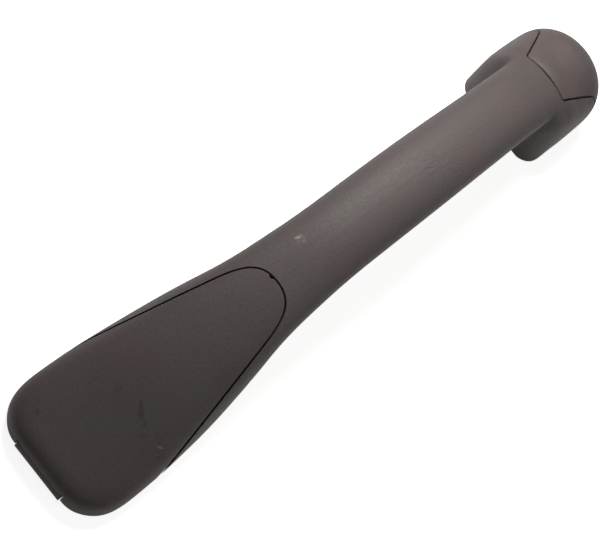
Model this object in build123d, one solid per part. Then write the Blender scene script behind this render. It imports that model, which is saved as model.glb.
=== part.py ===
from build123d import *
import os
from math import cos, pi, radians, sin, sqrt, tan

# Roof grab handle of a vehicle. Millimetres, +Z away from the roof panel, +X from the wide tail
# to the head. The origin is in the mounting plane, midway along the handle.

# Widths of the long form, with their places from the tail's end
overall_length = 250.0
tail_end_width = 48.7
tail_width = 50.2
tail_widest_at = 22.0
shoulder_width = 46.3
shoulder_at = 50.0
waist_width = 40.5
waist_at = 66.0
nose_width = 30.6
grip_width = 27.0
crown_width = 26.6
neck_width = 25.0
tail_corner_radius = 14.5
tail_edge_radius = 4.0

# Heights above the mounting plane
tail_end_height = 9.5
tail_height = 15.0
tail_height_at = 20.0
slope_height = 25.5
nose_height = 37.4
grip_height = 44.0
crown_height = 46.5
neck_height = 42.0
head_height = 37.0
head_end_height = 35.0
grip_thickness = 18.5
finger_height = 17.0

# Places along the arm, as shares of the overall length or from the head's end
grip_share = 0.472
crown_share = 0.592
neck_from_head = 53.0

# Tail foot, with the slope behind it up to the grip's underside
tail_foot_length = 66.0
tail_foot_depth = 22.0
tail_slope_length = 16.5
tail_belt_height = 2.0
foot_belt_height = 13.0

# Head: the foot, its shoulders beside the grip, and the dome over its end
head_foot_length = 36.0
head_foot_width = 39.2
head_belt_height = 13.0
head_corner_radius = 6.5
shoulder_start_height = 25.5
shoulder_middle_height = 31.0
shoulder_middle_share = 0.4
shoulder_blend_length = 6.0
head_end_reach = 14.3
head_roundness = 2.35
arm_end_sink = 3.5

# Fullness of the rounded sections: 0.55 is an ellipse, 1 a rectangle
tail_fullness = 0.82
shoulder_fullness = 0.78
nose_fullness = 0.68
grip_fullness = 0.62
head_fullness = 0.56

# Flaps: the tail cover with its round nose, and the head cap
cover_length = 89.6
cover_nose_half_width = 9.4
cover_nose_length = 13.1
cover_nose_fullness = 0.75
cover_side_angle = 14.4
pry_notch_radius = 1.2
pry_notch_depth = 0.7
pry_notch_side = 2.2
cap_length = 28.6
cap_nose_width = 19.8
cap_side_width = 30.0
cap_side_length = 11.0
cap_side_return = 3.5
cap_corner_radius = 1.2
cap_side_radius = 4.0
cover_ramp_at = 30.0
tray_ramp_at = 56.0
ramp_depth = 9.0
flap_wall = 2.2
flap_gap = 0.6
flap_seat_gap = 0.35
flap_foot_gap = 0.3
ledge_width = 1.8
tray_wall = 1.8
rib_thickness = 1.6
rib_height = 11.0

# Hinges of the flaps
hinge_radius = 3.0
hinge_clearance = 0.35
hinge_floor_gap = 0.15
knuckle_stand_out = 0.6
knuckle_root = 2.0
foot_cut_back = 9.8
tail_knuckle_width = 22.0
head_knuckle_width = 9.0
tail_barrel_length = 4.0
head_barrel_length = 3.5
pin_radius = 1.0
pin_clearance = 0.05
pin_end_gap = 0.4

# Screw holes for M6 screws, with steel sleeves and load plates
screw_hole_radius = 3.3
sleeve_outer_radius = 4.5
sleeve_clearance = 0.02
boss_radius = 6.5
boss_height = 7.0
foot_thickness = 3.5
tail_screw_at = 40.0
tail_screw_spacing = 24.0
head_screw_at = 17.5
plate_thickness = 1.5
tail_plate_length = 14.0
tail_plate_margin = 10.0
head_plate_length = 15.0
head_plate_width = 18.0
plate_hole_radius = 3.5
plate_corner_radius = 3.0

# How finely the long forms are cut into sections, and room past every surface for cutting tools
least_edge_radius = 0.4
corner_steps = (0.0, 0.25, 0.5, 0.75, 1.0)
end_steps = (0.22, 0.44, 0.63, 0.78, 0.88, 0.95)
arm_section_count = 26
cap_section_step = 6.0
cut_margin = 20.0
prism_height = 80.0


def from_tail(distance):
    """X of a place given by its distance from the tail's end."""
    return distance - overall_length / 2


def from_head(distance):
    """X of a place given by its distance from the head's end."""
    return overall_length / 2 - distance


def smooth_curve(keys):
    """A function through the keys (place, value) that never swings past them."""
    places = [key[0] for key in keys]
    values = [key[1] for key in keys]
    steps = [b - a for a, b in zip(places, places[1:])]
    rises = [(b - a) / step for a, b, step in zip(values, values[1:], steps)]
    slopes = [rises[0]]
    for before, after in zip(rises, rises[1:]):
        same_way = before * after > 0
        slopes.append(2 * before * after / (before + after) if same_way else 0.0)
    slopes.append(rises[-1])

    def value_at(place):
        if place <= places[0]:
            return values[0]
        if place >= places[-1]:
            return values[-1]
        i = max(k for k in range(len(steps)) if places[k] <= place)
        t = (place - places[i]) / steps[i]
        start = (1 + 2 * t) * (1 - t) ** 2 * values[i] + t * (1 - t) ** 2 * steps[i] * slopes[i]
        end = t * t * (3 - 2 * t) * values[i + 1] + t * t * (t - 1) * steps[i] * slopes[i + 1]
        return start + end

    return value_at


# Places measured from the tail's end
grip_at = grip_share * overall_length
crown_at = crown_share * overall_length
neck_at = overall_length - neck_from_head
leg_at = overall_length - head_foot_length
seam_at = overall_length - cap_length
arm_end_at = overall_length - head_end_reach
shoulder_end_at = seam_at + shoulder_blend_length
shoulder_middle_at = leg_at + shoulder_middle_share * (shoulder_end_at - leg_at)

# Hinges and screws
hinge_height = hinge_radius + hinge_floor_gap
tail_hinge_x = from_tail(hinge_radius)
head_hinge_x = from_head(hinge_radius)
tail_screw_x = from_tail(tail_screw_at)
tail_screws = ((tail_screw_x, tail_screw_spacing / 2), (tail_screw_x, -tail_screw_spacing / 2))
head_screw = (from_head(head_screw_at), 0.0)

half_width = smooth_curve([
    (0.0, tail_end_width / 2), (tail_widest_at, tail_width / 2), (shoulder_at, shoulder_width / 2),
    (waist_at, waist_width / 2), (cover_length, nose_width / 2), (grip_at, grip_width / 2),
    (crown_at, crown_width / 2), (neck_at, neck_width / 2)])
top = smooth_curve([
    (0.0, tail_end_height), (tail_height_at, tail_height), (shoulder_at, slope_height),
    (cover_length, nose_height), (grip_at, grip_height), (crown_at, crown_height),
    (neck_at, neck_height), (seam_at, head_height), (arm_end_at, head_end_height)])
belt = smooth_curve([
    (0.0, tail_belt_height), (shoulder_at, tail_belt_height), (tail_foot_length, foot_belt_height),
    (cover_length, nose_height - grip_thickness / 2), (grip_at, grip_height - grip_thickness / 2),
    (crown_at, crown_height - grip_thickness / 2), (neck_at, neck_height - grip_thickness / 2),
    (arm_end_at, head_height - grip_thickness / 2 - arm_end_sink)])
underside = smooth_curve([
    (0.0, -tail_end_height), (tail_foot_length - tail_foot_depth, -tail_foot_depth), (tail_foot_length, 0.0),
    (tail_foot_length + tail_slope_length, nose_height - grip_thickness),
    (grip_at, grip_height - grip_thickness), (crown_at, crown_height - grip_thickness),
    (neck_at, neck_height - grip_thickness), (leg_at - head_corner_radius, finger_height),
    (leg_at + head_corner_radius, finger_height / 2), (arm_end_at, finger_height / 3)])
fullness = smooth_curve([
    (0.0, tail_fullness), (shoulder_at, shoulder_fullness), (cover_length, nose_fullness),
    (grip_at, grip_fullness), (arm_end_at, nose_fullness)])
sink = smooth_curve([(shoulder_end_at, 0.0), (arm_end_at, arm_end_sink)])
shoulder_crest = smooth_curve([
    (leg_at, shoulder_start_height), (shoulder_middle_at, shoulder_middle_height),
    (shoulder_end_at, top(shoulder_end_at))])


def corner_drop(distance, radius):
    """How far a quarter-round corner falls short of its sides at a distance from the end."""
    if distance >= radius:
        return 0.0
    return radius - sqrt(radius ** 2 - (radius - distance) ** 2)


def quarter(x, start, end, corner, fullness):
    """A quarter of an oval at x, from start to end as (y, z), bulging towards the corner."""
    def towards_corner(point):
        return tuple(a + fullness * (b - a) for a, b in zip(point, corner))
    return Bezier((x, *start), (x, *towards_corner(start)), (x, *towards_corner(end)), (x, *end))


def arm_section(distance, inset, lift):
    """The handle's cross-section, a flattened oval, at a distance from the tail's end."""
    corner = tail_corner_radius - inset
    edge = max(tail_edge_radius - inset, least_edge_radius)
    half = half_width(distance) - inset - corner_drop(distance - inset, corner)
    crest = top(distance) - sink(distance) - inset + lift - corner_drop(distance - inset, edge)
    sole = underside(distance) + inset
    middle = belt(distance)
    x = from_tail(distance)
    full = fullness(distance)
    quarters = [quarter(x, (half, middle), (0, crest), (half, crest), full),
                quarter(x, (0, crest), (-half, middle), (-half, crest), full),
                quarter(x, (-half, middle), (0, sole), (-half, sole), full),
                quarter(x, (0, sole), (half, middle), (half, sole), full)]
    return Face(Wire(quarters))


def arm_form(inset=0.0, lift=0.0):
    """The long form from the tail's end into the head, smaller all round by the inset."""
    corner = tail_corner_radius - inset
    places = [inset + corner * (1 - cos(step * pi / 2)) for step in corner_steps]
    step = (arm_end_at - places[-1]) / arm_section_count
    places += [places[-1] + step * (i + 1) for i in range(arm_section_count)]
    return loft([arm_section(place, inset, lift) for place in places])


def head_section(distance, crest, inset=0.0, edge_drop=0.0):
    """The head's cross-section, an arch on upright sides, closing towards the head's end."""
    past = max(distance - arm_end_at, 0.0) / (head_end_reach - inset)
    closing = (1 - past ** head_roundness) ** (1 / head_roundness)
    half = (head_foot_width / 2 - inset - edge_drop) * closing
    high = head_belt_height + (crest - inset - edge_drop - head_belt_height) * closing
    x = from_tail(distance)
    outline = [quarter(x, (half, head_belt_height), (0, high), (half, high), head_fullness),
               quarter(x, (0, high), (-half, head_belt_height), (-half, high), head_fullness),
               Line((x, -half, head_belt_height), (x, -half, 0)), Line((x, -half, 0), (x, half, 0)),
               Line((x, half, 0), (x, half, head_belt_height))]
    return Face(Wire(outline))


def head_end_places(inset):
    """Places of the sections that close the head's end."""
    return [arm_end_at + (head_end_reach - inset) * sin(step * pi / 2) for step in end_steps]


def shoulder_form():
    """The head's foot with its shoulders, which rise beside the grip to meet the cap's dome."""
    faces = []
    for step in corner_steps:
        place = leg_at + head_corner_radius * (1 - cos(step * pi / 2))
        drop = corner_drop(place - leg_at, head_corner_radius)
        faces.append(head_section(place, shoulder_crest(place), edge_drop=drop))
    middle = (leg_at + head_corner_radius + shoulder_end_at) / 2
    for place in [middle, shoulder_end_at, arm_end_at, *head_end_places(0.0)]:
        faces.append(head_section(place, min(shoulder_crest(place), top(place))))
    return loft(faces)


def cap_form(inset=0.0, lift=0.0):
    """The domed outside of the head cap, closed at the head's end."""
    places = [seam_at - cap_section_step, seam_at, seam_at + cap_section_step, arm_end_at]
    places += head_end_places(inset)
    return loft([head_section(place, top(place) + lift, inset) for place in places])


def upright(face):
    """A face in the mounting plane, drawn up past the top of the handle."""
    return extrude(face, prism_height, dir=(0, 0, 1))


def above_plane(solid):
    """What is left of a solid above the mounting plane."""
    below = Box(2 * overall_length, 2 * tail_width, prism_height)
    return solid - Pos(0, 0, -prism_height / 2) * below


def tail_seam_outline(growth):
    """The tail cover's seam seen from above, open towards the tail, with a round nose."""
    lean = radians(cover_side_angle)
    nose_x = from_tail(cover_length) + growth
    side_x = from_tail(cover_length - cover_nose_length)
    far_x = from_tail(-cut_margin)

    def side_y(x):
        return cover_nose_half_width + (from_tail(cover_length) - x) * tan(lean) + growth / cos(lean)

    def half_nose(way):
        corner = (nose_x, way * side_y(nose_x))
        ends = ((side_x, way * side_y(side_x)), (nose_x, 0.0))
        inner = [tuple(a + cover_nose_fullness * (b - a) for a, b in zip(end, corner)) for end in ends]
        return Bezier(ends[0], *inner, ends[1])

    sides = Polyline((side_x, side_y(side_x)), (far_x, side_y(far_x)), (far_x, -side_y(far_x)),
                     (side_x, -side_y(side_x)))
    return Face(Wire([half_nose(1), half_nose(-1), *sides.edges()]))


def tail_flap_zone(growth=0.0, floor=0.0, ramp_at=cover_ramp_at):
    """Over the tail, inside the cover's seam, on a floor that ramps up towards the nose."""
    far_x = from_tail(-cut_margin)
    nose_floor = nose_height - ramp_depth
    steepness = (nose_floor - floor) / (cover_length - ramp_at)
    ramp = Polyline((far_x, 0, floor), (from_tail(ramp_at), 0, floor),
                    (from_tail(cover_length + cut_margin), 0, nose_floor + steepness * cut_margin),
                    (from_tail(cover_length + cut_margin), 0, prism_height),
                    (far_x, 0, prism_height), close=True)
    above_ramp = extrude(Face(Wire(ramp)), tail_width, both=True, dir=(0, 1, 0))
    return upright(tail_seam_outline(growth)) & above_ramp


def head_flap_zone(growth=0.0, floor=0.0):
    """Everything over the head's end inside the cap's seam, grown sideways."""
    nose_x = from_head(cap_length)
    side_x = from_head(cap_side_length)
    far_x = from_head(-cut_margin)
    wide = head_foot_width / 2 + cap_side_radius
    return_x = side_x + cap_side_return
    outline = Polyline((nose_x, -cap_nose_width / 2), (nose_x, cap_nose_width / 2),
                       (side_x, cap_side_width / 2), (return_x, wide), (far_x, wide), (far_x, -wide),
                       (return_x, -wide), (side_x, -cap_side_width / 2), close=True)
    face = Face(Wire(outline))
    face = fillet([v for v in face.vertices() if v.X < nose_x + least_edge_radius], cap_corner_radius)
    face = fillet([v for v in face.vertices() if abs(v.X - side_x) < least_edge_radius], cap_side_radius)
    if growth:
        face = offset(face, growth)
    return Pos(0, 0, floor) * upright(face)


def hinge_rod(hinge_x, radius, width, place=0.0):
    """A round bar along a hinge's axis."""
    bar = Rot(90, 0, 0) * Cylinder(radius, width)
    return Pos(hinge_x, place, hinge_height) * bar


def knuckle(hinge_x, inner_x, width):
    """The foot's hinge knuckle with the web that joins it to the foot's floor."""
    round_part = hinge_rod(hinge_x, hinge_radius + knuckle_stand_out, width)
    web = Box(abs(inner_x - hinge_x), width, foot_thickness)
    return above_plane(round_part) + Pos((hinge_x + inner_x) / 2, 0, foot_thickness / 2) * web


def flap_shell(blank, inside, outside, hinge_x, outward, knuckle_width, barrel_length):
    """A flap: a shell cut out of the handle's outside, with two hinge barrels at its end."""
    shell = blank - inside
    under = Pos(hinge_x + outward * prism_height / 2, 0, hinge_height - prism_height / 2)
    under *= Box(prism_height, prism_height, prism_height)
    shell -= under - hinge_rod(hinge_x, hinge_radius, prism_height)
    shell -= hinge_rod(hinge_x, hinge_radius + knuckle_stand_out + hinge_clearance,
                       knuckle_width + 2 * hinge_clearance)
    for side in (1, -1):
        place = side * (knuckle_width / 2 + hinge_clearance + barrel_length / 2)
        shell += hinge_rod(hinge_x, hinge_radius, barrel_length, place) & outside
    bore_length = knuckle_width + 2 * (hinge_clearance + barrel_length) - pin_end_gap
    return shell - hinge_rod(hinge_x, pin_radius + pin_clearance, bore_length)


def tail_cover():
    outside = arm_form()
    blank = outside & tail_flap_zone(floor=flap_foot_gap)
    notch_x = from_tail(cover_length) + pry_notch_radius - pry_notch_depth
    blank -= Pos(notch_x, pry_notch_side, prism_height / 2) * Cylinder(pry_notch_radius, prism_height)
    return flap_shell(blank, arm_form(flap_wall), outside, tail_hinge_x, -1,
                      tail_knuckle_width, tail_barrel_length)


def head_cap():
    outside = cap_form()
    blank = outside & head_flap_zone(floor=flap_foot_gap)
    return flap_shell(blank, cap_form(flap_wall), outside, head_hinge_x, 1,
                      head_knuckle_width, head_barrel_length)


def screw_boss(x, y):
    return Pos(x, y, boss_height / 2) * Cylinder(boss_radius, boss_height)


def tray_rib(y):
    """A rib along the tail tray's floor, from beside the load plate to the foot's end."""
    start_x = tail_screw_x + tail_plate_length / 2 + hinge_clearance
    length = from_tail(tail_foot_length) - start_x
    return Pos(start_x + length / 2, y, rib_height / 2) * Box(length, rib_thickness, rib_height)


def grip_body():
    """The one-piece moulding: grip, both feet, the trays under the flaps and the hinge knuckles."""
    body = above_plane(arm_form()) + shoulder_form()
    seat = flap_wall + flap_seat_gap
    body -= tail_flap_zone(flap_gap, -foot_thickness) - arm_form(seat)
    body -= head_flap_zone(flap_gap, -foot_thickness) - cap_form(seat)
    tray = seat + tray_wall
    body -= tail_flap_zone(-ledge_width, foot_thickness, tray_ramp_at) & arm_form(tray, prism_height / 2)
    body -= head_flap_zone(-ledge_width, foot_thickness) & cap_form(tray, prism_height / 2)
    for hinge_x, outward, width in ((tail_hinge_x, -1, tail_knuckle_width),
                                    (head_hinge_x, 1, head_knuckle_width)):
        inner_x = hinge_x + outward * (hinge_radius - foot_cut_back)
        middle = inner_x + outward * prism_height / 2
        body -= Pos(middle, 0, 0) * Box(prism_height, prism_height, 2 * prism_height)
        body += knuckle(hinge_x, inner_x - outward * knuckle_root, width)
        body -= hinge_rod(hinge_x, pin_radius + pin_clearance, prism_height)
    for x, y in tail_screws:
        body += tray_rib(y)
    for x, y in (*tail_screws, head_screw):
        body += screw_boss(x, y)
        body -= Pos(x, y, 0) * Cylinder(sleeve_outer_radius + sleeve_clearance, 3 * boss_height)
    return body


def sleeve(place):
    x, y = place
    tube = Cylinder(sleeve_outer_radius, boss_height) - Cylinder(screw_hole_radius, boss_height)
    return Pos(x, y, boss_height / 2) * tube


def load_plate(length, width, screws):
    """A flat steel plate on the bosses, with a hole over each screw."""
    outline = RectangleRounded(length, width, plate_corner_radius)
    for _, y in screws:
        outline -= Pos(0, y) * Circle(plate_hole_radius)
    return Pos(screws[0][0], 0, boss_height) * extrude(outline, plate_thickness)


def hinge_pin(hinge_x, knuckle_width, barrel_length):
    length = knuckle_width + 2 * (hinge_clearance + barrel_length - pin_end_gap)
    return hinge_rod(hinge_x, pin_radius, length)


def pieces():
    """Each piece by its name."""
    left, right = tail_screws
    return {
        "grip_body": grip_body(),
        "tail_cover": tail_cover(),
        "head_cap": head_cap(),
        "tail_cover_pin": hinge_pin(tail_hinge_x, tail_knuckle_width, tail_barrel_length),
        "head_cap_pin": hinge_pin(head_hinge_x, head_knuckle_width, head_barrel_length),
        "tail_sleeve_left": sleeve(left),
        "tail_sleeve_right": sleeve(right),
        "head_sleeve": sleeve(head_screw),
        "tail_load_plate": load_plate(tail_plate_length, tail_screw_spacing + tail_plate_margin, tail_screws),
        "head_load_plate": load_plate(head_plate_length, head_plate_width, [head_screw]),
    }


def main():
    os.makedirs("parts", exist_ok=True)
    for name, piece in pieces().items():
        export_step(piece, f"parts/{name}.step")


main()
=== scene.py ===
"""Dresses the roof grab handle in its moulded plastic and plated steel, and sets up its studio."""
import math

import bmesh
import bpy
import numpy as np
from bpy.props import FloatProperty, FloatVectorProperty, PointerProperty
from mathutils import Matrix, Vector
from mathutils.bvhtree import BVHTree


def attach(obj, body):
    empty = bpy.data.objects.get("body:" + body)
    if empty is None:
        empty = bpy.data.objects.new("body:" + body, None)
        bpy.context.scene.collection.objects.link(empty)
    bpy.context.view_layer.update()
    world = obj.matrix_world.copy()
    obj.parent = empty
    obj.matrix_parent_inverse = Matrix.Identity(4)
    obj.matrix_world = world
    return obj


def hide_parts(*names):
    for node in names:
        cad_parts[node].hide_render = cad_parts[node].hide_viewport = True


bl_info = {
    "name": "Roof Grab Handle",
    "version": (1, 0, 0),
    "blender": (4, 5, 0),
    "location": "3D View > Sidebar > Grab Handle",
    "description": "Gives the grab handle its grained plastic, its metal parts and its studio",
    "category": "Object",
}

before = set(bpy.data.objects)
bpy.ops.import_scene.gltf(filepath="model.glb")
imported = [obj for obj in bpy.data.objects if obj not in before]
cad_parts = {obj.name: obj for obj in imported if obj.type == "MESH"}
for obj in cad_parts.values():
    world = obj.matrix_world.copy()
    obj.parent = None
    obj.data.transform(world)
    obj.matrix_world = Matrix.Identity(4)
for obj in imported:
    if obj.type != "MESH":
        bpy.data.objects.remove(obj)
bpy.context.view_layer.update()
MM = 0.001


def linear(code):
    """A colour given as sRGB hex, such as "605A59", as three linear values."""
    channels = [int(code[i:i + 2], 16) / 255 for i in (0, 2, 4)]
    return [c / 12.92 if c <= 0.04045 else ((c + 0.055) / 1.055) ** 2.4 for c in channels]


def opaque(colour):
    """A colour as a socket takes it, with full cover."""
    return (*colour, 1.0)


def tinted(colour, tint):
    """A colour with each channel multiplied by its share in the tint."""
    return opaque([channel * share for channel, share in zip(colour, tint)])


class HandlePlasticSettings(bpy.types.PropertyGroup):
    """Finish of the moulded plastic parts."""
    body_colour: FloatVectorProperty(
        name="Body colour", description="Colour of the grip moulding", subtype="COLOR",
        size=3, min=0.0, max=1.0, default=linear("635D5D"))
    # The cover's own grey, set a shade darker than the grip's as painted shade for the dimmer light
    # at the tail
    cover_colour_with_shade: FloatVectorProperty(
        name="Cover colour", description="Colour of the tail's screw cover", subtype="COLOR",
        size=3, min=0.0, max=1.0, default=linear("5D5757"))
    cap_colour: FloatVectorProperty(
        name="Cap colour", description="Colour of the head's screw cap", subtype="COLOR",
        size=3, min=0.0, max=1.0, default=linear("676060"))
    roughness: FloatProperty(
        name="Roughness", description="Roughness of the grained skin", subtype="FACTOR",
        min=0.0, max=1.0, default=0.58)
    grain_spacing: FloatProperty(
        name="Grain spacing", description="Distance between the pebbles of the leather grain",
        subtype="DISTANCE", unit="LENGTH", default=0.9 * MM)
    grain_depth: FloatProperty(
        name="Grain depth", description="Depth of the creases between the pebbles",
        subtype="DISTANCE", unit="LENGTH", default=0.035 * MM)
    seam_radius: FloatProperty(
        name="Seam edge radius", description="Small rounding of the mouldings' edges at the seams",
        subtype="DISTANCE", unit="LENGTH", default=0.35 * MM)


class HandleMetalSettings(bpy.types.PropertyGroup):
    """Finish of the hinge pins, screw sleeves and load plates."""
    pin_colour: FloatVectorProperty(
        name="Pin colour", description="Colour of the drawn steel pins", subtype="COLOR",
        size=3, min=0.0, max=1.0, default=linear("B4B2AE"))
    zinc_colour: FloatVectorProperty(
        name="Zinc colour", description="Colour of the zinc plating", subtype="COLOR",
        size=3, min=0.0, max=1.0, default=linear("C3C8CC"))
    pin_roughness: FloatProperty(
        name="Pin roughness", description="Roughness of the drawn wire", subtype="FACTOR",
        min=0.0, max=1.0, default=0.28)
    zinc_roughness: FloatProperty(
        name="Zinc roughness", description="Roughness of the plating", subtype="FACTOR",
        min=0.0, max=1.0, default=0.36)


class HandleStageSettings(bpy.types.PropertyGroup):
    """Camera, lamps and sky."""
    tilt: FloatProperty(
        name="Camera tilt", description="Lean of the view towards the tail from straight above",
        subtype="ANGLE", unit="ROTATION", default=math.radians(25.57))
    roll: FloatProperty(
        name="Camera roll", description="Lean of the view across the handle",
        subtype="ANGLE", unit="ROTATION", default=math.radians(-3.07))
    spin: FloatProperty(
        name="Camera spin", description="Turn of the handle in the picture",
        subtype="ANGLE", unit="ROTATION", default=math.radians(38.72))
    distance: FloatProperty(
        name="Camera distance", description="From the camera to the handle",
        subtype="DISTANCE", unit="LENGTH", default=0.6)
    lens: FloatProperty(
        name="Lens", description="Focal length for a sensor 36 mm wide", default=107.3)
    lamp_power: FloatProperty(
        name="Lamp power", description="Power of the window-like lamp", unit="POWER", default=0.78)
    fill_power: FloatProperty(
        name="Fill power", description="Power of the weak lamp on the other side", unit="POWER",
        default=0.075)
    sky_strength: FloatProperty(
        name="Sky strength", description="Strength of the even light from all round",
        min=0.0, default=0.065)


def plastic_settings():
    """The scene's settings for the moulded plastic."""
    return bpy.context.scene.handle_plastic


def metal_settings():
    """The scene's settings for the metal parts."""
    return bpy.context.scene.handle_metal


def stage_settings():
    """The scene's settings for the camera and the light."""
    return bpy.context.scene.handle_stage


def add_node(tree, kind, settings=None, inputs=None):
    """Adds a node, sets its properties, and fills its inputs with values or links."""
    made = tree.nodes.new(kind)
    for name, value in (settings or {}).items():
        setattr(made, name, value)
    for key, value in (inputs or {}).items():
        if isinstance(value, bpy.types.NodeSocket):
            tree.links.new(value, made.inputs[key])
        else:
            made.inputs[key].default_value = value
    return made


def new_material(name):
    """A material with an empty node tree, and that tree."""
    material = bpy.data.materials.new(name)
    material.use_nodes = True
    material.node_tree.nodes.clear()
    return material, material.node_tree


def millimetre_coords(tree, crowding=(1.0, 1.0, 1.0)):
    """The place on the piece in mm, with the pattern crowded along each axis by a factor."""
    place = add_node(tree, "ShaderNodeTexCoord")
    scaled = add_node(tree, "ShaderNodeMapping", inputs={
        "Vector": place.outputs["Object"], "Scale": [factor / MM for factor in crowding]})
    return scaled.outputs[0]


def add_object(name, data):
    """Adds an object to the scene."""
    made = bpy.data.objects.new(name, data)
    bpy.context.scene.collection.objects.link(made)
    return made


# Marks that the photograph shows, in mm: place, half lengths along and across the handle, turn in
# degrees, how strongly it covers, and its colour
GRIP_MARKS = (
    ((-21.2, 7.0, 40.4), (1.15, 0.5), -20, 0.62, "BDB8B4"),
    ((-19.9, 6.6, 40.7), (0.35, 0.9), -10, 0.34, "A49E9B"),
    ((-20.4, 4.9, 40.7), (1.0, 0.35), 15, 0.3, "A49E9B"),
    ((-20.8, 6.0, 40.5), (2.4, 1.7), 0, 0.1, "A49E9B"),
    ((-16.2, 5.4, 41.4), (0.7, 0.35), 20, 0.3, "2A2524"),
)
COVER_MARKS = (
    ((-93.0, -18.2, 16.5), (1.2, 0.35), -60, 0.6, "9A9490"),
    ((-94.7, -19.8, 15.3), (0.5, 0.35), 0, 0.25, "8A8480"),
    ((-94.9, -20.4, 15.0), (0.9, 0.6), 0, 0.3, "1E1A19"),
    ((-92.4, -16.9, 17.2), (0.8, 0.5), 0, 0.25, "1E1A19"),
    ((-90.4, -4.0, 19.9), (1.7, 0.8), 55, 0.3, "1E1A19"),
    ((-92.0, -6.2, 19.4), (2.2, 1.1), 55, 0.34, "1E1A19"),
    ((-92.8, -9.4, 18.8), (1.8, 0.7), 60, 0.24, "1E1A19"),
    ((-95.1, -11.8, 17.7), (1.2, 0.7), 80, 0.16, "1E1A19"),
    ((-93.0, 4.4, 19.0), (2.4, 1.4), 20, 0.12, "1E1A19"),
    ((-115.8, 14.2, 11.2), (1.2, 0.8), 60, 0.24, "1E1A19"),
)
# Where a mark covers most and where it is gone, as shares of its oval, and how far noise moves
# both. Its depth into the piece is a multiple of its longest half
MARK_SOLID, MARK_GONE, MARK_UNEVENNESS = 0.7, 1.8, 0.9
MARK_DEPTH = 2

# The shallow wrinkles near the middle of the grip, in mm: where they gather, how far they reach,
# and the size and turn of one fold. Their height is a multiple of the grain's
WRINKLE_PLACES = ((31.0, 0.0, 46.3), (38.0, -3.5, 45.8))
WRINKLE_CORE, WRINKLE_REACH = 1.0, 10.0
WRINKLE_SIZE = (3.0, 0.8, 3.0)
WRINKLE_TURN = math.radians(-20)
WRINKLE_HEIGHT = 7.0

# The leather grain: how often its rows bend and its finest relief repeats within a pebble's spacing
BENDS_PER_PEBBLE, FINE_PER_PEBBLE = 0.35, 2.2
PEBBLE_SOFTNESS = 0.35

# The skin's slow drift of colour and its fine speckle, in repeats per mm
DRIFT_PER_MM, SPECKLE_PER_MM = 0.045, 1.1
DRIFT_COOL_AT, DRIFT_WARM_AT = 0.36, 0.64
COOL_TINT, WARM_TINT = (0.97, 1.01, 1.0), (1.04, 0.98, 0.98)
# Painted shade in the grain's creases: where it starts and where it is full, how strongly it
# covers, and its tint
CREASE_START, CREASE_FULL, CREASE_SHADE_COVER = 0.35, 0.8, 0.16
CREASE_SHADE_TINT = (0.45, 0.45, 0.45)
SPECKLE_LOW, SPECKLE_HIGH = 0.3, 0.7
SKIN_SMOOTHER, SKIN_ROUGHER = 0.05, 0.06
POLYPROPYLENE_IOR, SKIN_SPECULAR = 1.49, 0.42
EDGE_SAMPLES = 6


def mark_mask(tree, coords, noise, mark):
    """How strongly one mark covers the surface: an uneven oval, soft at its edge."""
    place, halves, turn, strength, _ = mark
    moved = add_node(tree, "ShaderNodeMapping", {"vector_type": "TEXTURE"}, {
        "Vector": coords, "Location": place, "Rotation": (0.0, 0.0, math.radians(turn)),
        "Scale": (halves[0], halves[1], max(halves) * MARK_DEPTH)})
    reach = add_node(tree, "ShaderNodeVectorMath", {"operation": "LENGTH"}, {0: moved.outputs[0]})
    uneven = add_node(tree, "ShaderNodeMath", {"operation": "MULTIPLY_ADD"}, {
        0: noise, 1: MARK_UNEVENNESS, 2: reach.outputs["Value"]})
    faded = add_node(tree, "ShaderNodeMapRange", {"interpolation_type": "SMOOTHSTEP"}, {
        "Value": uneven.outputs[0], "From Min": MARK_SOLID, "From Max": MARK_GONE,
        "To Min": strength, "To Max": 0.0})
    return faded.outputs[0]


def leather_grain(tree, coords, spacing):
    """Height of a fine leather grain, soft pebbles with creases between them, and the creases."""
    bend = add_node(tree, "ShaderNodeTexNoise", inputs={
        "Vector": coords, "Scale": BENDS_PER_PEBBLE / spacing, "Detail": 2.0})
    bent = add_node(tree, "ShaderNodeVectorMath", {"operation": "MULTIPLY_ADD"}, {
        0: bend.outputs["Color"], 1: (spacing, spacing, spacing), 2: coords})
    pebbles = add_node(tree, "ShaderNodeTexVoronoi", {"feature": "SMOOTH_F1"}, {
        "Vector": bent.outputs[0], "Scale": 1 / spacing, "Smoothness": PEBBLE_SOFTNESS})
    fine = add_node(tree, "ShaderNodeTexNoise", inputs={
        "Vector": coords, "Scale": FINE_PER_PEBBLE / spacing, "Detail": 3.0, "Roughness": 0.6})
    height = add_node(tree, "ShaderNodeMath", {"operation": "MULTIPLY_ADD"}, {
        0: pebbles.outputs["Distance"], 1: -1.0, 2: fine.outputs["Fac"]})
    return height.outputs[0], pebbles.outputs["Distance"]


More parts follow.
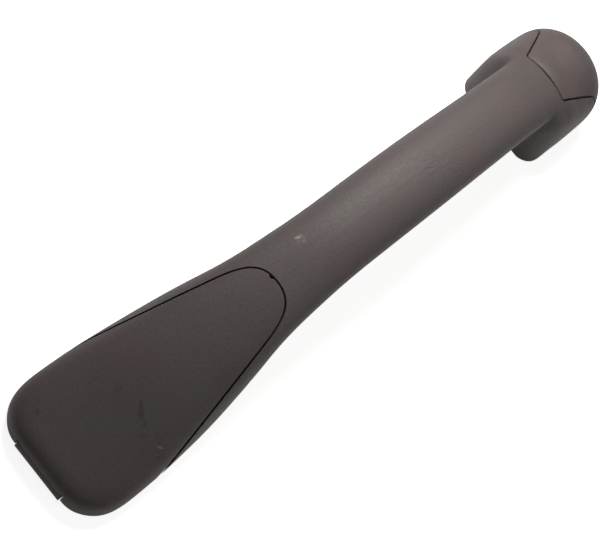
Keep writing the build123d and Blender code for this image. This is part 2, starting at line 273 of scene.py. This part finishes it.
def wrinkles(tree, coords):
    """Height of the shallow wrinkles near the middle of the grip."""
    near = None
    for place in WRINKLE_PLACES:
        gap = add_node(tree, "ShaderNodeVectorMath", {"operation": "DISTANCE"}, {
            0: coords, 1: place})
        fade = add_node(tree, "ShaderNodeMapRange", {"interpolation_type": "SMOOTHSTEP"}, {
            "Value": gap.outputs["Value"], "From Min": WRINKLE_CORE, "From Max": WRINKLE_REACH,
            "To Min": 1.0, "To Max": 0.0})
        if near is None:
            near = fade.outputs[0]
        else:
            near = add_node(tree, "ShaderNodeMath", {"operation": "MAXIMUM"}, {
                0: near, 1: fade.outputs[0]}).outputs[0]
    stretched = add_node(tree, "ShaderNodeMapping", {"vector_type": "TEXTURE"}, {
        "Vector": coords, "Rotation": (0.0, 0.0, WRINKLE_TURN), "Scale": WRINKLE_SIZE})
    folds = add_node(tree, "ShaderNodeTexNoise", inputs={
        "Vector": stretched.outputs[0], "Scale": 1.0, "Detail": 3.0, "Distortion": 0.8})
    return add_node(tree, "ShaderNodeMath", {"operation": "MULTIPLY"}, {
        0: near, 1: folds.outputs["Fac"]}).outputs[0]


def moulded_polypropylene(name, colour, marks, wrinkled):
    """Injection-moulded polypropylene: matt, mottled warm grey with a fine leather grain."""
    look = plastic_settings()
    material, tree = new_material(name)
    coords = millimetre_coords(tree)
    grain, creases = leather_grain(tree, coords, look.grain_spacing / MM)

    # The skin's colour drifts a little over a few centimetres, warmer and cooler
    drift = add_node(tree, "ShaderNodeTexNoise", inputs={
        "Vector": coords, "Scale": DRIFT_PER_MM, "Detail": 2.0})
    shade = add_node(tree, "ShaderNodeValToRGB", inputs={"Fac": drift.outputs["Fac"]})
    cool_stop, warm_stop = shade.color_ramp.elements
    cool_stop.position, cool_stop.color = DRIFT_COOL_AT, tinted(colour, COOL_TINT)
    warm_stop.position, warm_stop.color = DRIFT_WARM_AT, tinted(colour, WARM_TINT)
    # Painted shade: the grain's creases are painted a shade darker
    crease_shade = add_node(tree, "ShaderNodeMapRange", inputs={
        "Value": creases, "From Min": CREASE_START, "From Max": CREASE_FULL,
        "To Min": 0.0, "To Max": CREASE_SHADE_COVER})
    skin = add_node(tree, "ShaderNodeMix", {"data_type": "RGBA"}, {
        "Factor": crease_shade.outputs[0], "A": shade.outputs["Color"],
        "B": tinted(colour, CREASE_SHADE_TINT)}).outputs["Result"]
    speckle = add_node(tree, "ShaderNodeTexNoise", inputs={
        "Vector": coords, "Scale": SPECKLE_PER_MM, "Detail": 4.0})
    rough = add_node(tree, "ShaderNodeMapRange", inputs={
        "Value": speckle.outputs["Fac"], "From Min": SPECKLE_LOW, "From Max": SPECKLE_HIGH,
        "To Min": look.roughness - SKIN_SMOOTHER, "To Max": look.roughness + SKIN_ROUGHER})
    for mark in marks:
        mask = mark_mask(tree, coords, speckle.outputs["Fac"], mark)
        skin = add_node(tree, "ShaderNodeMix", {"data_type": "RGBA"}, {
            "Factor": mask, "A": skin, "B": opaque(linear(mark[4]))}).outputs["Result"]

    height = grain
    if wrinkled:
        height = add_node(tree, "ShaderNodeMath", {"operation": "MULTIPLY_ADD"}, {
            0: wrinkles(tree, coords), 1: WRINKLE_HEIGHT, 2: grain}).outputs[0]
    soft_edges = add_node(tree, "ShaderNodeBevel", {"samples": EDGE_SAMPLES}, {
        "Radius": look.seam_radius})
    bump = add_node(tree, "ShaderNodeBump", inputs={
        "Strength": 1.0, "Distance": look.grain_depth, "Height": height,
        "Normal": soft_edges.outputs[0]})
    shader = add_node(tree, "ShaderNodeBsdfPrincipled", inputs={
        "Base Color": skin, "Roughness": rough.outputs[0], "IOR": POLYPROPYLENE_IOR,
        "Normal": bump.outputs[0], "Specular IOR Level": SKIN_SPECULAR})
    add_node(tree, "ShaderNodeOutputMaterial", inputs={"Surface": shader.outputs[0]})
    return material


# Drawn wire: lines per mm across, along and across the pin, how dark the lines are, how far their
# roughness strays to each side, and the strength and depth of their relief
DRAW_LINES = (6.0, 0.15, 6.0)
LINE_TINT = (0.78, 0.78, 0.78)
WIRE_SMOOTHER, WIRE_ROUGHER = 0.06, 0.1
LINE_STRENGTH, LINE_DEPTH = 0.5, 0.01 * MM

# Zinc plating: crystals and clouds per mm, how much the crystals count beside the clouds, how dark
# the clouds are, how far the roughness strays to each side, and the relief of the crystals
CRYSTALS_PER_MM, CLOUDS_PER_MM = 1.4, 0.25
CRYSTAL_SHARE = 0.4
CLOUD_TINT = (0.72, 0.72, 0.72)
ZINC_SMOOTHER, ZINC_ROUGHER = 0.08, 0.12
CRYSTAL_STRENGTH, CRYSTAL_DEPTH = 0.4, 0.01 * MM


def metal_surface(tree, tone, rough, bump):
    """Ends a metal's node tree: tone, roughness and relief on bare metal."""
    shader = add_node(tree, "ShaderNodeBsdfPrincipled", inputs={
        "Base Color": tone.outputs["Result"], "Metallic": 1.0, "Roughness": rough.outputs[0],
        "Normal": bump.outputs[0]})
    add_node(tree, "ShaderNodeOutputMaterial", inputs={"Surface": shader.outputs[0]})


def drawn_steel(name, colour, roughness):
    """Drawn steel wire: bright, with fine draw lines along the pin."""
    material, tree = new_material(name)
    lines = add_node(tree, "ShaderNodeTexNoise", inputs={
        "Vector": millimetre_coords(tree, DRAW_LINES), "Scale": 1.0, "Detail": 3.0})
    tone = add_node(tree, "ShaderNodeMix", {"data_type": "RGBA"}, {
        "Factor": lines.outputs["Fac"], "A": tinted(colour, LINE_TINT), "B": opaque(colour)})
    rough = add_node(tree, "ShaderNodeMapRange", inputs={
        "Value": lines.outputs["Fac"],
        "To Min": roughness - WIRE_SMOOTHER, "To Max": roughness + WIRE_ROUGHER})
    bump = add_node(tree, "ShaderNodeBump", inputs={
        "Strength": LINE_STRENGTH, "Distance": LINE_DEPTH, "Height": lines.outputs["Fac"]})
    metal_surface(tree, tone, rough, bump)
    return material


def zinc_plated_steel(name, colour, roughness):
    """Zinc-plated pressed steel: pale, a little cloudy, with fine crystals in the plating."""
    material, tree = new_material(name)
    coords = millimetre_coords(tree)
    crystals = add_node(tree, "ShaderNodeTexVoronoi", inputs={
        "Vector": coords, "Scale": CRYSTALS_PER_MM})
    clouds = add_node(tree, "ShaderNodeTexNoise", inputs={
        "Vector": coords, "Scale": CLOUDS_PER_MM, "Detail": 4.0})
    mixed = add_node(tree, "ShaderNodeMath", {"operation": "MULTIPLY_ADD"}, {
        0: crystals.outputs["Distance"], 1: CRYSTAL_SHARE, 2: clouds.outputs["Fac"]})
    tone = add_node(tree, "ShaderNodeMix", {"data_type": "RGBA"}, {
        "Factor": mixed.outputs[0], "A": tinted(colour, CLOUD_TINT), "B": opaque(colour)})
    rough = add_node(tree, "ShaderNodeMapRange", inputs={
        "Value": mixed.outputs[0],
        "To Min": roughness - ZINC_SMOOTHER, "To Max": roughness + ZINC_ROUGHER})
    bump = add_node(tree, "ShaderNodeBump", inputs={
        "Strength": CRYSTAL_STRENGTH, "Distance": CRYSTAL_DEPTH,
        "Height": crystals.outputs["Distance"]})
    metal_surface(tree, tone, rough, bump)
    return material


def dress(names, material):
    """Gives CAD nodes a material in every slot."""
    for name in names:
        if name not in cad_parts:
            raise RuntimeError(f"the packed part has no node {name}")
        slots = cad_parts[name].material_slots
        if not slots:
            raise RuntimeError(f"node {name} has no material slot")
        for slot in slots:
            slot.material = material


# The head's fuller shoulders, in mm. Along the handle they fill out over the first two places and
# fade over the last two; upwards they take hold between the belt and the sure height
FILL_START, FILL_FULL, FILL_FADE, FILL_END = 86.5, 92.5, 101.0, 112.0
BELT_HEIGHT, FILL_SURE_HEIGHT = 13.0, 16.0
# Where the cap's seam starts, and the section that the shoulders follow, a little below the crown
SEAM_START = 95.8
HEAD_HALF_WIDTH = 19.75
SECTION_POWER, SECTION_ROOT = 2.7, 2.3
CROWN_CLEARANCE, BLEND_HEIGHT = 1.1, 1.2
# Where the corner between the arm and the shoulders is softened: along, upwards and sideways
SOFT_START, SOFT_FULL, SOFT_FADE, SOFT_END = 86.0, 89.0, 93.5, 95.6
SOFT_LEAST_HEIGHT, SOFT_SURE_HEIGHT = 14.0, 18.0
SOFT_INNER, SOFT_OUTER = 6.0, 10.0
SOFT_ROUNDS, SOFT_STEP = 40, 0.5
# How finely the copy is divided, above which height, and how far past the filled stretch
FINE_EDGE, DIVIDE_LEAST_HEIGHT, DIVIDE_MARGIN = 0.8, 14.0, 2.0
DIVIDE_ROUNDS = 6
# The grid on which the skin's height is measured from above. A place is read a little short of the
# last grid line at most, and a gap is closed where it is less than twice the reach in grid steps
GRID_STEP, GRID_MARGIN, GRID_HALF_WIDTH = 0.25, 6.0, 21.0
RAY_START = 60.0
SHORT_OF_END = 1.001
GAP_REACH = 3
# What counts as outer skin: the z of its normal, and how near the measured skin it lies
TURNED_DOWN, TURNED_OUT, TURNED_UP = -0.6, -0.3, 0.12
SKIN_DEPTH = 0.9
# Depth below the skin to which the seam's walls move with it, and below which nothing moves
WALL_DEPTH, STILL_DEPTH = 3.0, 7.0
SHARP_ANGLE = math.radians(32)
# A corner that moved less than this keeps its shading; vertices nearer than the second are one
STAYED, MERGE_DISTANCE = 0.002, 0.001
LEAST_AREA, LEAST_LENGTH = 1e-12, 1e-9


def smoothstep(low, high, value):
    """A share that rises softly from 0 at the low value to 1 at the high one."""
    share = np.clip((value - low) / (high - low), 0.0, 1.0)
    return share * share * (3.0 - 2.0 * share)


def smooth_max(first, second, blend):
    """The larger of two heights, with a soft change from one to the other."""
    share = np.clip(1.0 - np.abs(first - second) / blend, 0.0, 1.0)
    return np.maximum(first, second) + share * share * blend / 4.0


class HeadSurface:
    """Heights of the head's upper skin on a fine grid, with the seam's gap closed."""

    def __init__(self, nodes):
        trees = [BVHTree.FromPolygons([vertex.co / MM for vertex in node.data.vertices],
                                      [polygon.vertices[:] for polygon in node.data.polygons])
                 for node in nodes]
        self.x = np.arange(FILL_START - GRID_MARGIN, FILL_END + GRID_MARGIN, GRID_STEP)
        self.y = np.arange(-GRID_HALF_WIDTH, GRID_HALF_WIDTH + GRID_STEP / 2, GRID_STEP)
        down = Vector((0.0, 0.0, -1.0))
        height = np.zeros((len(self.x), len(self.y)))
        for i, x in enumerate(self.x):
            for j, y in enumerate(self.y):
                for tree in trees:
                    hit = tree.ray_cast(Vector((x, y, RAY_START)), down)[0]
                    if hit is not None:
                        height[i, j] = max(height[i, j], hit.z)
        self.height = self.closed(height)
        self.middle = self.height[:, len(self.y) // 2]

    @staticmethod
    def closed(height):
        """Lifts narrow gaps to their rims: the highest value nearby, then the lowest of those."""
        for best in (np.maximum, np.minimum):
            for axis in (0, 1):
                result = height.copy()
                for shift in range(1, GAP_REACH + 1):
                    result = best(result, np.roll(height, shift, axis))
                    result = best(result, np.roll(height, -shift, axis))
                height = result
        return height

    def at(self, x, y):
        """Height of the skin over each place, read between the grid's points."""
        row = np.clip((x - self.x[0]) / GRID_STEP, 0, len(self.x) - SHORT_OF_END)
        column = np.clip((y - self.y[0]) / GRID_STEP, 0, len(self.y) - SHORT_OF_END)
        i, j = row.astype(int), column.astype(int)
        u, v = row - i, column - j
        grid = self.height
        return ((1 - u) * (1 - v) * grid[i, j] + u * (1 - v) * grid[i + 1, j]
                + (1 - u) * v * grid[i, j + 1] + u * v * grid[i + 1, j + 1])

    def filled(self, x, y, z):
        """Height of the fuller shoulder where the skin's height is z."""
        crown = np.interp(x, self.x, self.middle)
        share = np.clip(np.abs(y) / HEAD_HALF_WIDTH, 0.0, 1.0)
        section = (1.0 - share ** SECTION_POWER) ** (1.0 / SECTION_ROOT)
        form = BELT_HEIGHT + (crown - CROWN_CLEARANCE - BELT_HEIGHT) * section
        reach = smoothstep(FILL_START, FILL_FULL, x) * (1.0 - smoothstep(FILL_FADE, FILL_END, x))
        reach = reach * smoothstep(BELT_HEIGHT, FILL_SURE_HEIGHT, z)
        return z + reach * (smooth_max(z, form, BLEND_HEIGHT) - z)


def refine_head(mesh):
    """Divides the long edges of the head's upper part until its faces are fine enough to bend."""
    for _ in range(DIVIDE_ROUNDS):
        long_edges = [e for e in mesh.edges if e.calc_length() > FINE_EDGE * MM
                      and max(v.co.x for v in e.verts) > (FILL_START - DIVIDE_MARGIN) * MM
                      and min(v.co.x for v in e.verts) < (FILL_END + DIVIDE_MARGIN) * MM
                      and max(v.co.z for v in e.verts) > DIVIDE_LEAST_HEIGHT * MM]
        if not long_edges:
            break
        bmesh.ops.subdivide_edges(mesh, edges=long_edges, cuts=1)
        bmesh.ops.triangulate(mesh, faces=[f for f in mesh.faces if len(f.verts) > 3])


def softened(place, edges):
    """Rounds the corner between the arm's side and the shoulders, drawing points together."""
    x, y, z = place.T
    weight = smoothstep(SOFT_START, SOFT_FULL, x) * (1.0 - smoothstep(SOFT_FADE, SOFT_END, x))
    weight = weight * smoothstep(SOFT_LEAST_HEIGHT, SOFT_SURE_HEIGHT, z)
    weight = weight * smoothstep(SOFT_INNER, SOFT_OUTER, np.abs(y))
    count = len(place)
    first, second = edges.T
    neighbours = np.bincount(first, minlength=count) + np.bincount(second, minlength=count)
    neighbours = np.maximum(neighbours, 1)
    for _ in range(SOFT_ROUNDS):
        for axis in range(3):
            line = place[:, axis]
            total = (np.bincount(first, weights=line[second], minlength=count)
                     + np.bincount(second, weights=line[first], minlength=count))
            place[:, axis] = line + SOFT_STEP * weight * (total / neighbours - line)
    return place


def keep_source_shading(made, source_mesh, before, after):
    """Gives the corners that stayed in place the normals of the faces that they came from."""
    source = np.array([value.value for value in made.attributes["source"].data])
    triangles = np.array([polygon.vertices[:] for polygon in source_mesh.polygons])
    corners = np.array([polygon.loop_indices[:] for polygon in source_mesh.polygons])
    points = np.array([vertex.co for vertex in source_mesh.vertices])[triangles] / MM
    normals = np.array([normal.vector for normal in source_mesh.corner_normals])[corners]
    face_of_loop = np.repeat(source, [polygon.loop_total for polygon in made.polygons])
    vertex_of_loop = np.array([loop.vertex_index for loop in made.loops])
    first, second, third = points[face_of_loop].transpose(1, 0, 2)
    place = before[vertex_of_loop]
    # Each corner's place in its source triangle, as shares of that triangle's three corners
    whole = np.cross(second - first, third - first)
    area = np.maximum((whole * whole).sum(1), LEAST_AREA)
    share_two = (np.cross(place - first, third - first) * whole).sum(1) / area
    share_three = (np.cross(second - first, place - first) * whole).sum(1) / area
    shares = np.stack([1.0 - share_two - share_three, share_two, share_three], 1)
    shares = np.clip(shares, 0.0, 1.0)
    kept = (normals[face_of_loop] * shares[:, :, None]).sum(1)
    kept /= np.maximum(np.linalg.norm(kept, axis=1, keepdims=True), LEAST_LENGTH)
    worked_out = np.array([normal.vector for normal in made.corner_normals])
    moved = np.linalg.norm(after - before, axis=1)[vertex_of_loop] > STAYED
    made.normals_split_custom_set(np.where(moved[:, None], worked_out, kept).tolist())


def fuller_places(mesh, surface):
    """Where the vertices lie before and after the shoulders fill out, in mm."""
    before = np.array([v.co for v in mesh.verts]) / MM
    x, y, z = before.T
    skin = surface.at(x, y)
    # The outer skin takes the new form itself; the seam's walls and the inside move with the skin
    # above them
    facing = np.array([v.normal.z for v in mesh.verts])
    outer = smoothstep(TURNED_DOWN, TURNED_OUT, facing) * (x < SEAM_START)
    for face in mesh.faces:
        if face.normal.z > TURNED_UP:
            for vert in face.verts:
                if z[vert.index] > skin[vert.index] - SKIN_DEPTH:
                    outer[vert.index] = 1.0
    own = surface.filled(x, y, z)
    deep = 1.0 - smoothstep(WALL_DEPTH, STILL_DEPTH, skin - z)
    lift = (surface.filled(x, y, skin) - skin) * deep
    lift = np.where(x < SEAM_START, 0.0, lift)
    after = before.copy()
    after[:, 2] += outer * (own - z) + (1.0 - outer) * lift
    edges = np.array([(e.verts[0].index, e.verts[1].index) for e in mesh.edges])
    return before, softened(after, edges)


def fuller_head(node, surface, name):
    """A finer copy of a moulding whose shoulders fill out beside the arm and run into the cap."""
    mesh = bmesh.new()
    mesh.from_mesh(node.data)
    source = mesh.faces.layers.int.new("source")
    for face in mesh.faces:
        face[source] = face.index
    bmesh.ops.remove_doubles(mesh, verts=mesh.verts, dist=MERGE_DISTANCE * MM)
    refine_head(mesh)
    mesh.normal_update()
    mesh.verts.ensure_lookup_table()
    before, after = fuller_places(mesh, surface)
    for vert, place in zip(mesh.verts, after):
        vert.co = place * MM
    made = bpy.data.meshes.new(name)
    mesh.to_mesh(made)
    mesh.free()
    for face in made.polygons:
        face.use_smooth = True
    made.set_sharp_from_angle(angle=SHARP_ANGLE)
    keep_source_shading(made, node.data, before, after)
    return add_object(name, made)


class HANDLE_OT_head(bpy.types.Operator):
    """Fill out the head's shoulders, on the grip moulding and on the head cap alike"""
    bl_idname = "handle.shape_head"
    bl_label = "Shape the head"

    def execute(self, context):
        rows = (("grip_body", "handle", "grip_plastic"), ("head_cap", "head_flap", "cover_plastic"))
        surface = HeadSurface([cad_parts[node] for node, _, _ in rows])
        for node, body, slot in rows:
            piece = fuller_head(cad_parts[node], surface, node + "_moulding")
            piece.data.materials.append(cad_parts[node].material_slots[0].material)
            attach(piece, body)
            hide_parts(node)
        return {"FINISHED"}


class HANDLE_OT_grip(bpy.types.Operator):
    """Give the grip moulding its grained plastic, its scuff and its wrinkles"""
    bl_idname = "handle.dress_grip"
    bl_label = "Dress the grip"

    def execute(self, context):
        dress(["grip_body"], moulded_polypropylene(
            "grained_polypropylene_grip", plastic_settings().body_colour, GRIP_MARKS, True))
        return {"FINISHED"}


class HANDLE_OT_flaps(bpy.types.Operator):
    """Give the two screw covers their grained plastic and their marks"""
    bl_idname = "handle.dress_flaps"
    bl_label = "Dress the flaps"

    def execute(self, context):
        look = plastic_settings()
        # The tail cover's colour carries painted shade: a shade darker than the grip's
        dress(["tail_cover"], moulded_polypropylene(
            "grained_polypropylene_tail_cover", look.cover_colour_with_shade, COVER_MARKS, False))
        dress(["head_cap"], moulded_polypropylene(
            "grained_polypropylene_head_cap", look.cap_colour, (), False))
        return {"FINISHED"}


class HANDLE_OT_pins(bpy.types.Operator):
    """Give the hinge pins their drawn steel"""
    bl_idname = "handle.dress_pins"
    bl_label = "Dress the hinge pins"

    def execute(self, context):
        look = metal_settings()
        dress(["tail_cover_pin", "head_cap_pin"], drawn_steel(
            "drawn_steel_pin", look.pin_colour, look.pin_roughness))
        return {"FINISHED"}


class HANDLE_OT_fixings(bpy.types.Operator):
    """Give the screw sleeves and load plates their zinc plating"""
    bl_idname = "handle.dress_fixings"
    bl_label = "Dress the sleeves and plates"

    def execute(self, context):
        look = metal_settings()
        names = ["tail_sleeve_left", "tail_sleeve_right", "head_sleeve",
                 "tail_load_plate", "head_load_plate"]
        dress(names, zinc_plated_steel(
            "zinc_plated_steel", look.zinc_colour, look.zinc_roughness))
        return {"FINISHED"}


# The stage, in metres: a window-like lamp beside and above the head, a weak one on the other side,
# the table just below the feet, and the point that the camera turns about
LAMP_PLACE = Vector((0.11, 0.11, 0.27))
LAMP_SIZE = 0.12
FILL_PLACE = Vector((-0.03, -0.25, 0.14))
FILL_SIZE = 0.25
LAMP_TARGET = Vector((0.02, 0.0, 0.03))
TABLE_SIZE, TABLE_GAP = 3.0, 0.0002
AIM = Vector((0.0, 0.0, 0.02))
AIM_SHIFT = (-0.012532, 0.010254)
CLIP_START = 0.01
SENSOR_WIDTH_MM = 36.0
# The laminate's roughness, and its glow to the camera and in the handle's reflections
LAMINATE_ROUGHNESS = 0.3
TABLE_GLOW, TABLE_SHEEN = 0.86, 0.35
WHITE = (1.0, 1.0, 1.0)


def table_material():
    """White laminate table that stays white to the camera and keeps the handle's shadow."""
    material, tree = new_material("white_laminate")
    path = add_node(tree, "ShaderNodeLightPath")
    lit = add_node(tree, "ShaderNodeBsdfDiffuse", inputs={
        "Color": opaque(linear("F2F2F1")), "Roughness": LAMINATE_ROUGHNESS})
    glow = add_node(tree, "ShaderNodeEmission", inputs={
        "Color": opaque(WHITE), "Strength": TABLE_GLOW})
    seen = add_node(tree, "ShaderNodeAddShader", inputs={0: lit.outputs[0], 1: glow.outputs[0]})
    sheen_strength = add_node(tree, "ShaderNodeMath", {"operation": "MULTIPLY"}, {
        0: path.outputs["Is Glossy Ray"], 1: TABLE_SHEEN})
    sheen = add_node(tree, "ShaderNodeEmission", inputs={
        "Color": opaque(WHITE), "Strength": sheen_strength.outputs[0]})
    mirrored = add_node(tree, "ShaderNodeAddShader", inputs={
        0: lit.outputs[0], 1: sheen.outputs[0]})
    chosen = add_node(tree, "ShaderNodeMixShader", inputs={
        "Fac": path.outputs["Is Camera Ray"], 1: mirrored.outputs[0], 2: seen.outputs[0]})
    add_node(tree, "ShaderNodeOutputMaterial", inputs={"Surface": chosen.outputs[0]})
    return material


def add_table():
    """A flat table under the handle's mounting plane."""
    half = TABLE_SIZE / 2
    corners = [(x * half, y * half, -TABLE_GAP) for x, y in ((-1, -1), (1, -1), (1, 1), (-1, 1))]
    mesh = bpy.data.meshes.new("table_top")
    mesh.from_pydata(corners, [], [(0, 1, 2, 3)])
    mesh.materials.append(table_material())
    add_object("table_top", mesh)


def add_world():
    """Even white light from all round; the camera sees plain white."""
    world = bpy.data.worlds.new("studio_sky")
    bpy.context.scene.world = world
    world.use_nodes = True
    tree = world.node_tree
    tree.nodes.clear()
    path = add_node(tree, "ShaderNodeLightPath")
    sky = add_node(tree, "ShaderNodeBackground", inputs={
        "Color": opaque(linear("FFFBF7")), "Strength": stage_settings().sky_strength})
    white = add_node(tree, "ShaderNodeBackground", inputs={
        "Color": opaque(WHITE), "Strength": 1.0})
    chosen = add_node(tree, "ShaderNodeMixShader", inputs={
        "Fac": path.outputs["Is Camera Ray"], 1: sky.outputs[0], 2: white.outputs[0]})
    add_node(tree, "ShaderNodeOutputWorld", inputs={"Surface": chosen.outputs[0]})


def add_lamp(name, place, size, power, colour):
    """A square lamp that shines at the grip."""
    light = bpy.data.lights.new(name, "AREA")
    light.shape = "SQUARE"
    light.size = size
    light.energy = power
    light.color = colour
    lamp = add_object(name, light)
    lamp.location = place
    lamp.rotation_euler = (LAMP_TARGET - place).to_track_quat("-Z", "Y").to_euler()


def add_camera():
    """The photograph's camera: above the tail, leaning to it, turned about its line of sight."""
    view = stage_settings()
    along = Vector((math.cos(view.tilt), 0.0, math.sin(view.tilt)))
    back = Vector((-math.sin(view.tilt), 0.0, math.cos(view.tilt)))
    across = Vector((0.0, 1.0, 0.0))
    back, across = (back * math.cos(view.roll) + across * math.sin(view.roll),
                    across * math.cos(view.roll) - back * math.sin(view.roll))
    right = along * math.cos(view.spin) - across * math.sin(view.spin)
    up = along * math.sin(view.spin) + across * math.cos(view.spin)
    place = AIM + right * AIM_SHIFT[0] - up * AIM_SHIFT[1] + back * view.distance
    data = bpy.data.cameras.new("photo_camera")
    data.sensor_width = SENSOR_WIDTH_MM
    data.lens = view.lens
    data.clip_start = CLIP_START
    camera = add_object("photo_camera", data)
    turn = Matrix((right, up, back)).transposed().to_4x4()
    camera.matrix_world = Matrix.Translation(place) @ turn
    bpy.context.scene.camera = camera


class HANDLE_OT_stage(bpy.types.Operator):
    """Add the table, the sky, the two lamps and the photograph's camera"""
    bl_idname = "handle.set_stage"
    bl_label = "Set the stage"

    def execute(self, context):
        view = stage_settings()
        add_table()
        add_world()
        add_lamp("window_lamp", LAMP_PLACE, LAMP_SIZE, view.lamp_power, linear("FFF9F5"))
        add_lamp("fill_lamp", FILL_PLACE, FILL_SIZE, view.fill_power, linear("FBFFF8"))
        add_camera()
        context.scene.view_settings.view_transform = "Standard"
        return {"FINISHED"}


class HANDLE_PT_panel(bpy.types.Panel):
    """Lists the handle's settings and the steps that dress it"""
    bl_idname = "HANDLE_PT_panel"
    bl_label = "Roof Grab Handle"
    bl_space_type = "VIEW_3D"
    bl_region_type = "UI"
    bl_category = "Grab Handle"

    def draw(self, context):
        for group in (plastic_settings(), metal_settings(), stage_settings()):
            column = self.layout.column(align=True)
            for name in group.bl_rna.properties.keys():
                if name not in ("rna_type", "name"):
                    column.prop(group, name)
        for operator in OPERATORS:
            self.layout.operator(operator.bl_idname)


OPERATORS = (
    HANDLE_OT_stage, HANDLE_OT_grip, HANDLE_OT_flaps, HANDLE_OT_pins, HANDLE_OT_fixings,
    HANDLE_OT_head)
SETTINGS = {
    "handle_plastic": HandlePlasticSettings,
    "handle_metal": HandleMetalSettings,
    "handle_stage": HandleStageSettings,
}
CLASSES = (*SETTINGS.values(), *OPERATORS, HANDLE_PT_panel)


def register():
    """Registers the classes and hangs the settings on the scene."""
    for cls in CLASSES:
        bpy.utils.register_class(cls)
    for name, group in SETTINGS.items():
        setattr(bpy.types.Scene, name, PointerProperty(type=group))


def unregister():
    """Takes back what register did."""
    for name in SETTINGS:
        delattr(bpy.types.Scene, name)
    for cls in reversed(CLASSES):
        bpy.utils.unregister_class(cls)


def main():
    """Dresses the handle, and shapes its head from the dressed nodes."""
    register()
    bpy.ops.handle.set_stage()
    bpy.ops.handle.dress_grip()
    bpy.ops.handle.dress_flaps()
    bpy.ops.handle.dress_pins()
    bpy.ops.handle.dress_fixings()
    bpy.ops.handle.shape_head()


if __name__ == "__main__":
    main()
